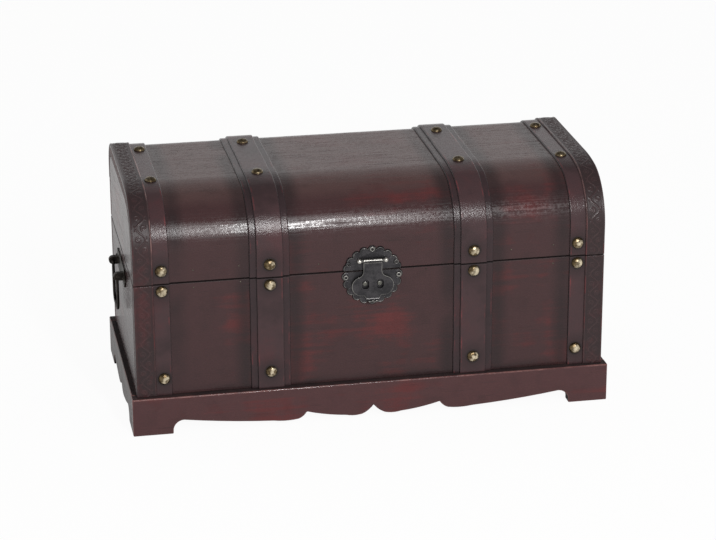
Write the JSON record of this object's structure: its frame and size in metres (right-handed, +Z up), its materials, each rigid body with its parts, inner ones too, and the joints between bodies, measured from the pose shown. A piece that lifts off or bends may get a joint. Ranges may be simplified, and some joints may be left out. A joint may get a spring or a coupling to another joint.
{
  "type": "decorative wooden chest",
  "caption": "Lidded wooden chest with a lid bent round at the front, layered straps with dome nails, a scalloped footed plinth, a swinging hasp and drop handles at the ends.",
  "frame": {"origin": "on the floor at the middle of the plinth", "axes": "+X to the right along the length, -Y out of the front with the hasp, +Z up"},
  "size_m": [0.3896, 0.1838, 0.193],
  "materials": {
    "case_wood": "dark stained, semi-gloss",
    "plinth_wood": "red-brown stained, semi-gloss",
    "strap_leather": "dark glazed",
    "trim_leather": "embossed, glazed",
    "nail_brass": "antique, worn bright on top",
    "hasp_bronze": "blackened, rubbed bright on the rims",
    "handle_bronze": "blackened",
    "hinge_brass": "antique, satin"
  },
  "bodies": {
    "chest": {"case_back": "case_wood", "case_bottom": "case_wood", "case_end_strap_left": "strap_leather", "case_end_strap_right": "strap_leather", "case_front": "case_wood", "case_left": "case_wood", "case_nails": "nail_brass", "case_right": "case_wood", "case_strap_left": "strap_leather", "case_strap_right": "strap_leather", "case_strip_left": "strap_leather", "case_strip_right": "strap_leather", "case_trim_left": "trim_leather", "case_trim_right": "trim_leather", "handle_pins_left": "handle_bronze", "handle_pins_right": "handle_bronze", "handle_plate_left": "handle_bronze", "handle_plate_right": "handle_bronze", "hasp_lower_pins": "hasp_bronze", "hasp_lower_plate": "hasp_bronze", "hasp_posts": "hasp_bronze", "hinge_leaf_case_left": "hinge_brass", "hinge_leaf_case_right": "hinge_brass", "hinge_pin_left": "hinge_brass", "hinge_pin_right": "hinge_brass", "hinge_screws_case_left": "hinge_brass", "hinge_screws_case_right": "hinge_brass", "plinth_back": "plinth_wood", "plinth_front": "plinth_wood", "plinth_left": "plinth_wood", "plinth_right": "plinth_wood"},
    "lid": {"hasp_pin": "hasp_bronze", "hasp_upper_pins": "hasp_bronze", "hasp_upper_plate": "hasp_bronze", "hinge_leaf_lid_left": "hinge_brass", "hinge_leaf_lid_right": "hinge_brass", "hinge_screws_lid_left": "hinge_brass", "hinge_screws_lid_right": "hinge_brass", "lid_back": "case_wood", "lid_end_strap_left": "strap_leather", "lid_end_strap_right": "strap_leather", "lid_left": "case_wood", "lid_nails": "nail_brass", "lid_right": "case_wood", "lid_shell": "case_wood", "lid_strap_left": "strap_leather", "lid_strap_right": "strap_leather", "lid_strip_left": "strap_leather", "lid_strip_right": "strap_leather", "lid_trim_left": "trim_leather", "lid_trim_right": "trim_leather"},
    "hasp": {"hasp_tongue": "hasp_bronze"},
    "bail_left": {"handle_bail_left": "handle_bronze"},
    "bail_right": {"handle_bail_right": "handle_bronze"}
  },
  "joints": [
    {"name": "lid_open", "type": "hinge", "parent": "chest", "child": "lid", "pos_m": [0, 0.0881, 0.1226], "axis": [-1, 0, 0], "range_deg": [0, 100]},
    {"name": "hasp_swing", "type": "hinge", "parent": "lid", "child": "hasp", "pos_m": [0, -0.0887, 0.1311], "axis": [-1, 0, 0], "range_deg": [0, 150]},
    {"name": "bail_left_swing", "type": "hinge", "parent": "chest", "child": "bail_left", "pos_m": [-0.1916, 0, 0.1072], "axis": [0, 1, 0], "range_deg": [0, 100]},
    {"name": "bail_right_swing", "type": "hinge", "parent": "chest", "child": "bail_right", "pos_m": [0.1916, 0, 0.1072], "axis": [0, -1, 0], "range_deg": [0, 100]}
  ]
}
